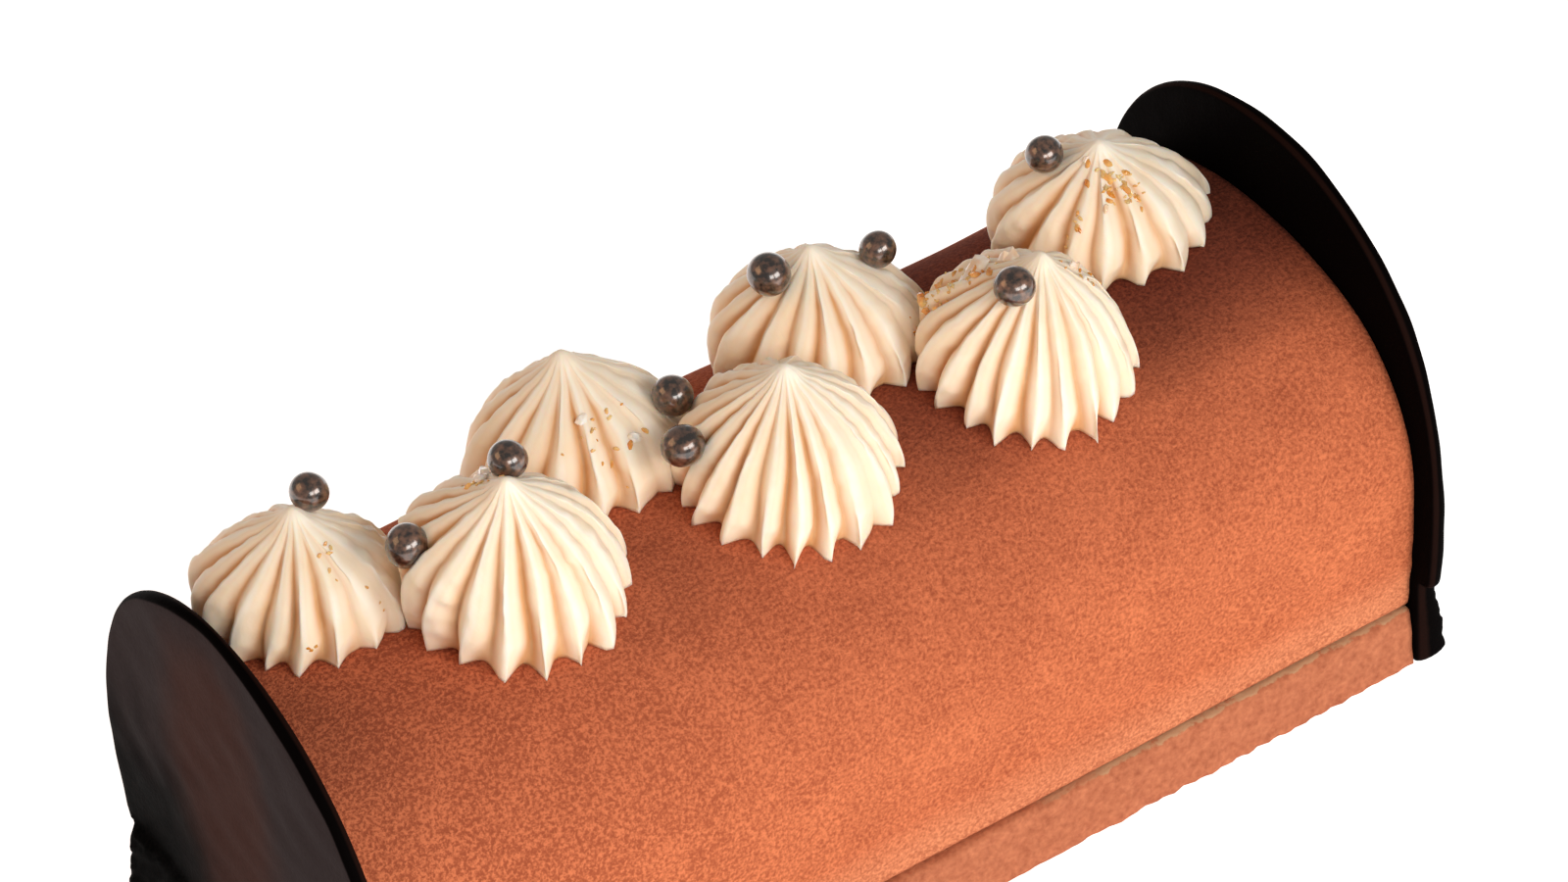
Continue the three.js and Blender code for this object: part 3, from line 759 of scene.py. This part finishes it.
def bronzed_chocolate():
    """Polished chocolate dusted with bronze mica: dark brown with a metallic glow, mottled in spots
    about 1 mm wide, and a soft sharp highlight."""
    material, shader, place = new_material("bronze_dusted_chocolate")
    mottle = node(material, "ShaderNodeTexNoise",
                  {"Vector": place, "Scale": PEARL_SPOTS_PER_MM / METRES, "Detail": 3.0})
    share = node(material, "ShaderNodeMapRange", {"Value": mottle, "From Min": 0.4, "From Max": 0.7})
    coloured = node(material, "ShaderNodeMix", {"Factor": share, "A": "#1e110b", "B": "#805a46"},
                    data_type="RGBA")
    dull = node(material, "ShaderNodeMapRange", {"Value": mottle, "To Min": 0.25, "To Max": 0.55})
    relief = node(material, "ShaderNodeBump",
                  {"Height": mottle, "Strength": 0.3, "Distance": 0.3 * METRES})
    fill(material, shader, {"Base Color": coloured, "Metallic": 0.45, "Roughness": dull,
                            "Coat Weight": 1.0, "Coat IOR": 1.8, "Coat Roughness": 0.16,
                            "Normal": relief})
    return material


def pearl_surface(middle, radius, seed):
    """A sphere whose radius swells and dips smoothly, as rings from low to high and then its lowest
    and highest points."""
    tilt = np.linspace(-np.pi / 2, np.pi / 2, PEARL_ROWS + 2)[1:-1, None]
    turn = np.linspace(0, 2 * np.pi, PEARL_COLUMNS, endpoint=False)
    ball = np.stack(np.broadcast_arrays(np.cos(tilt) * np.cos(turn), np.cos(tilt) * np.sin(turn),
                                        np.sin(tilt)), axis=-1).reshape(-1, 3)
    ball = np.vstack([ball, [[0, 0, -1], [0, 0, 1]]])
    swell = 1 + PEARL_UNEVENNESS * unevenness(ball, 3.0, seed)
    return middle + radius * ball * swell[:, None]


bronze = bronzed_chocolate()
for number, size in enumerate(PEARL_SIZES, start=1):
    low, high = (np.array(corner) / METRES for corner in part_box(f"chocolate_pearl_{number}"))
    pearl_points = pearl_surface((low + high) / 2, (high - low)[2] / 2 * size, 60 + number)
    add_piece(f"bronze_pearl_{number}", pearl_points, faces_between_poles(PEARL_ROWS, PEARL_COLUMNS),
              bronze, [f"chocolate_pearl_{number}"])


# The caramel chips, flakes and crumbs
# Splinters of clear amber caramel and paler flakes of the same brittle with bits of its crust, tossed
# over the cream by hand. The larger ones have a place of their own, and finer crumbs lie round them.

CHIPS = (
    {"x": 33.3, "y": 4.2, "long": 3.4, "points": 60, "thick": 0.3},
    {"x": 32.7, "y": 2.5, "long": 2.6, "points": 80, "thick": 0.3},
    {"x": 36.8, "y": 5.0, "long": 2.4, "points": 120, "thick": 0.3},
    {"x": 40.0, "y": -1.2, "long": 2.6, "points": 30, "thick": 0.3},
    {"x": 40.6, "y": 0.1, "long": 3.4, "points": 0, "thick": 0.35},
    {"x": 41.2, "y": -2.6, "long": 2.0, "points": 80, "thick": 0.3},
    {"x": 68.3, "y": 10.0, "long": 1.8, "points": 40, "thick": 0.3},
    {"x": 66.6, "y": 8.2, "long": 1.9, "points": 60, "thick": 0.3},
    {"x": 71.1, "y": 8.0, "long": 2.2, "points": -70, "thick": 0.2},
    {"x": 70.2, "y": 6.3, "long": 2.6, "points": -62, "thick": 0.2},
    {"x": 69.4, "y": 4.5, "long": 2.0, "points": -60, "thick": 0.2},
    {"x": 68.4, "y": 3.7, "long": 1.5, "points": -50, "thick": 0.3},
    {"x": 72.4, "y": 5.9, "long": 1.6, "points": -60, "thick": 0.2},
    {"x": 71.7, "y": 3.4, "long": 2.4, "points": -64, "thick": 0.2},
    {"x": 72.3, "y": 2.2, "long": 2.2, "points": -60, "thick": 0.2},
    {"x": 62.2, "y": 3.9, "long": 1.6, "points": 70, "thick": 0.3},
    {"x": -21.1, "y": 5.8, "long": 1.6, "points": 80, "thick": 0.3},
    {"x": -18.1, "y": 5.5, "long": 1.8, "points": 60, "thick": 0.4},
    {"x": -14.8, "y": 6.6, "long": 1.5, "points": 120, "thick": 0.4},
    {"x": -47.6, "y": 1.3, "long": 2.4, "points": 0, "thick": 0.3},
)
FLAKES = (
    {"x": 40.3, "y": 0.5, "long": 8.5, "points": 5, "thick": 0.1},
    {"x": 45.3, "y": -2.3, "long": 4.6, "points": 100, "thick": 0.62},
    {"x": 53.4, "y": -8.3, "long": 3.4, "points": 20, "thick": 0.4},
    {"x": 53.5, "y": -10.7, "long": 2.2, "points": 80, "thick": 0.4},
    {"x": 68.4, "y": 10.9, "long": 1.8, "points": 20, "thick": 0.4},
    {"x": 67.2, "y": 3.0, "long": 1.8, "points": 50, "thick": 0.5},
    {"x": -22.3, "y": 11.4, "long": 2.8, "points": 20, "thick": 0.14},
    {"x": -16.3, "y": 6.4, "long": 3.2, "points": 150, "thick": 0.2},
    {"x": -45.4, "y": 1.6, "long": 4.4, "points": 30, "thick": 0.25},
    {"x": -43.2, "y": 4.4, "long": 4.2, "points": 70, "thick": 0.3},
)
CRUMB_SPOTS = (
    {"x": 70.4, "y": 5.6, "spread": 2.2, "count": 26},
    {"x": 72.0, "y": 3.4, "spread": 2.0, "count": 14},
    {"x": 38.5, "y": 1.5, "spread": 4.0, "count": 30},
    {"x": 33.4, "y": 3.6, "spread": 2.6, "count": 24},
    {"x": 40.3, "y": 0.5, "spread": 2.4, "count": 14},
    {"x": 53.5, "y": -9.0, "spread": 2.6, "count": 14},
    {"x": 62.0, "y": 4.4, "spread": 1.6, "count": 8},
    {"x": -20.5, "y": 9.0, "spread": 5.0, "count": 14},
    {"x": -46.0, "y": 2.0, "spread": 3.2, "count": 16},
    {"x": -67.6, "y": 8.1, "spread": 2.4, "count": 7},
    {"x": -75.0, "y": 2.0, "spread": 1.2, "count": 3},
    {"x": -64.1, "y": 3.1, "spread": 1.6, "count": 3},
)
CRUMB_SIZES = (0.5, 1.3)
CRUMB_THICKNESS = 0.45
CRUMB_SCATTER = 0.55
SPLINTER_CORNERS = 8
SPLINTER_WIDTH = 0.55
SPLINTER_RINGS = (0.75, 1.0, 0.6)
SPLINTER_RADII = (0.65, 1.15)
SPLINTER_HEIGHTS = (0.6, 1.3)
SKIN_REACH = 0.5
CARAMEL_PATCHES_PER_MM = 0.42


def cream_skin(grids):
    """The points of all the kisses' walls, and the way that the skin faces at each: across the lines
    round the kiss and up it."""
    points = np.concatenate([grid[4:-1].reshape(-1, 3) for grid in grids])
    facing = np.concatenate([np.cross(np.roll(grid, -1, axis=1) - np.roll(grid, 1, axis=1),
                                      np.gradient(grid, axis=0))[4:-1].reshape(-1, 3)
                             for grid in grids])
    return points, facing / (np.linalg.norm(facing, axis=1, keepdims=True) + 1e-9)


def skin_under(x, y):
    """The highest point of the cream within half a millimetre of each place seen from above, or the
    nearest one, and the direction that the skin faces there."""
    near = np.hypot(cream[:, 0] - x[:, None], cream[:, 1] - y[:, None])
    score = np.where(near < SKIN_REACH, cream[:, 2], -near)
    best = score.argmax(axis=1)
    return cream[best], cream_facing[best]


def splinters(middles, facing, lengths, directions, thick, random):
    """Flat splinters: three uneven rings of corners, wide in the middle and narrower above and below,
    laid along the skin. The thickness is a share of the length."""
    count = len(middles)
    turn = np.linspace(0, 2 * np.pi, SPLINTER_CORNERS, endpoint=False)
    radius = (random.uniform(*SPLINTER_RADII, (count, len(SPLINTER_RINGS), SPLINTER_CORNERS))
              * np.reshape(SPLINTER_RINGS, (-1, 1)) / 2)
    height = (np.array([-0.5, 0.0, 0.5])[None, :, None] * np.reshape(thick, (-1, 1, 1))
              * random.uniform(*SPLINTER_HEIGHTS, radius.shape))
    along = np.stack([np.cos(directions), np.sin(directions), 0 * directions], axis=-1)
    along -= facing * (along * facing).sum(axis=-1, keepdims=True)
    along /= np.linalg.norm(along, axis=-1, keepdims=True)
    aside = np.cross(facing, along)
    parts = (along[:, None, None] * (radius * np.cos(turn))[..., None]
             + aside[:, None, None] * (radius * np.sin(turn) * SPLINTER_WIDTH)[..., None]
             + facing[:, None, None] * height[..., None])
    points = middles[:, None, None] + parts * lengths[:, None, None, None]
    one_splinter = closed_tube_faces(*radius.shape[1:])
    starts = np.arange(count) * radius[0].size
    return points, [[start + corner for corner in face] for start in starts.tolist()
                    for face in one_splinter]


def caramel(name, pale, deep, glow):
    """Boiled sugar: glassy, amber where it is thick and pale where it is thin. Light that enters one
    side comes out of the others, and the glow is its share."""
    material, shader, place = new_material(name)
    patch = node(material, "ShaderNodeTexNoise",
                 {"Vector": place, "Scale": CARAMEL_PATCHES_PER_MM / METRES, "Detail": 2.0})
    share = node(material, "ShaderNodeMapRange", {"Value": patch, "From Min": 0.35, "From Max": 0.65})
    coloured = node(material, "ShaderNodeMix", {"Factor": share, "A": pale, "B": deep},
                    data_type="RGBA")
    fill(material, shader, {"Base Color": coloured, "Roughness": 0.15, "IOR": 1.5,
                            "Subsurface Weight": glow, "Subsurface Scale": 1.0 * METRES,
                            "Subsurface Radius": (1.0, 0.5, 0.2), "Coat Weight": 0.4})
    return material


cream, cream_facing = cream_skin(kiss_grids)
tossed = np.random.default_rng(7)
amber = caramel("clear_caramel", "#f9c17a", "#d8801c", 0.5)
crusty = caramel("crusty_caramel", "#fffaf3", "#efcfae", 0.2)
for name, scattered, sugar in (("caramel_chips", CHIPS, amber), ("caramel_flakes", FLAKES, crusty)):
    chip_x, chip_y, chip_long, chip_points, chip_thick = (
        np.array([float(chip[key]) for chip in scattered])
        for key in ("x", "y", "long", "points", "thick"))
    chip_middles, chip_facing = skin_under(chip_x, chip_y)
    chip_shapes, chip_faces = splinters(chip_middles, chip_facing, chip_long,
                                        np.radians(chip_points), chip_thick, tossed)
    add_piece(name, chip_shapes, chip_faces, sugar, smooth=False)

spots = np.repeat(np.arange(len(CRUMB_SPOTS)), [spot["count"] for spot in CRUMB_SPOTS])
spot_x, spot_y, spread = (np.array([spot[key] for spot in CRUMB_SPOTS])[spots]
                          for key in ("x", "y", "spread"))
crumb_x = spot_x + tossed.normal(0, CRUMB_SCATTER, len(spots)) * spread
crumb_y = spot_y + tossed.normal(0, CRUMB_SCATTER, len(spots)) * spread
crumb_middles, crumb_facing = skin_under(crumb_x, crumb_y)
crumb_points, crumb_faces = splinters(crumb_middles, crumb_facing,
                                      tossed.uniform(*CRUMB_SIZES, len(spots)),
                                      tossed.uniform(0, 2 * np.pi, len(spots)),
                                      np.full(len(spots), CRUMB_THICKNESS), tossed)
add_piece("caramel_crumbs", crumb_points, crumb_faces,
          caramel("fine_caramel", "#fbcf92", "#df8f34", 0.5), smooth=False)


# The floor
# A sheet of white translucent plastic, lit softly from below, as used under food for its picture.

FLOOR_HALF = 2500.0
floor_material, floor_shader, floor_place = new_material("white_light_table")
floor_tone = node(floor_material, "ShaderNodeTexNoise", {"Vector": floor_place, "Scale": 3.0})
floor_mix = node(floor_material, "ShaderNodeMix", {"Factor": floor_tone, "A": "#f4f4f4", "B": "#f8f8f8"},
                 data_type="RGBA")
fill(floor_material, floor_shader, {"Base Color": floor_mix, "Roughness": 0.8,
                                    "Specular IOR Level": 0.1, "Emission Color": "#ffffff",
                                    "Emission Strength": 0.79})
floor_mesh = bpy.data.meshes.new("floor")
floor_corners = np.array([[-1, -1, 0], [1, -1, 0], [1, 1, 0], [-1, 1, 0]]) * FLOOR_HALF * METRES
floor_mesh.from_pydata(floor_corners.tolist(), [], [[0, 1, 2, 3]])
floor_mesh.materials.append(floor_material)
floor = bpy.data.objects.new("floor", floor_mesh)
bpy.context.scene.collection.objects.link(floor)


# The light
# One large softbox stands low in front and to the right. A small one beside the camera puts the round
# highlights on the pearls, a weak warm one is on the left, and there is a dim pale room round them.

CAKE_MIDDLE = np.array([0.0, 0.0, 0.045])
SOFTBOXES = (
    {"name": "key_softbox", "direction": (0.3, -0.84, 0.46), "distance": 1.1, "width": 0.55,
     "height": 0.4, "watts": 5.4, "colour": "#fffbf6"},
    {"name": "front_softbox", "direction": (-0.22, -0.85, 0.48), "distance": 1.1, "width": 0.4,
     "height": 0.32, "watts": 3.0, "colour": "#fffbf6"},
    {"name": "left_softbox", "direction": (-0.75, 0.35, 0.65), "distance": 1.5, "width": 0.9,
     "height": 0.7, "watts": 4.6, "colour": "#ffc38e"},
)

for box in SOFTBOXES:
    light = bpy.data.lights.new(box["name"], "AREA")
    light.shape = "RECTANGLE"
    light.size = box["width"]
    light.size_y = box["height"]
    light.energy = box["watts"]
    light.color = linear(box["colour"])[:3]
    back = np.array(box["direction"]) / np.linalg.norm(box["direction"])
    side = np.cross([0, 0, 1], back)
    side /= np.linalg.norm(side)
    turned = Matrix(np.column_stack([side, np.cross(back, side), back]).tolist()).to_4x4()
    turned.translation = CAKE_MIDDLE + back * box["distance"]
    softbox = bpy.data.objects.new(box["name"], light)
    softbox.matrix_world = turned
    bpy.context.scene.collection.objects.link(softbox)

room = bpy.data.worlds.new("pale_room")
bpy.context.scene.world = room
room.use_nodes = True
fill(room, room.node_tree.nodes["Background"], {"Color": "#fbf6f0", "Strength": 0.34})


# The camera
# A long lens, looking down on the cake from the left of its front. It points to the right of the
# cake's +Y by the first angle and down by the second, and is rolled on its axis by the third.

CAMERA_LENS = 167.38
CAMERA_SENSOR = 36.0
CAMERA_PLACE = (-0.40068, -0.70772, 0.79103)
CAMERA_AZIMUTH = math.radians(29.8182)
CAMERA_DIP = math.radians(41.5208)
CAMERA_ROLL = math.radians(-5.8767)

camera_data = bpy.data.cameras.new("camera")
camera_data.lens = CAMERA_LENS
camera_data.sensor_width = CAMERA_SENSOR
camera_data.sensor_fit = "HORIZONTAL"
camera_data.clip_start = 0.05
camera_data.clip_end = 20.0
level = np.array([math.cos(CAMERA_AZIMUTH), -math.sin(CAMERA_AZIMUTH), 0])
forward = np.array([math.sin(CAMERA_AZIMUTH) * math.cos(CAMERA_DIP),
                    math.cos(CAMERA_AZIMUTH) * math.cos(CAMERA_DIP), -math.sin(CAMERA_DIP)])
right = math.cos(CAMERA_ROLL) * level + math.sin(CAMERA_ROLL) * np.cross(level, forward)
camera_axes = np.column_stack([right, np.cross(right, forward), -forward])
camera_place = Matrix(camera_axes.tolist()).to_4x4()
camera_place.translation = CAMERA_PLACE
camera = bpy.data.objects.new("camera", camera_data)
camera.matrix_world = camera_place
bpy.context.scene.collection.objects.link(camera)
bpy.context.scene.camera = camera
bpy.context.scene.view_settings.view_transform = "Standard"
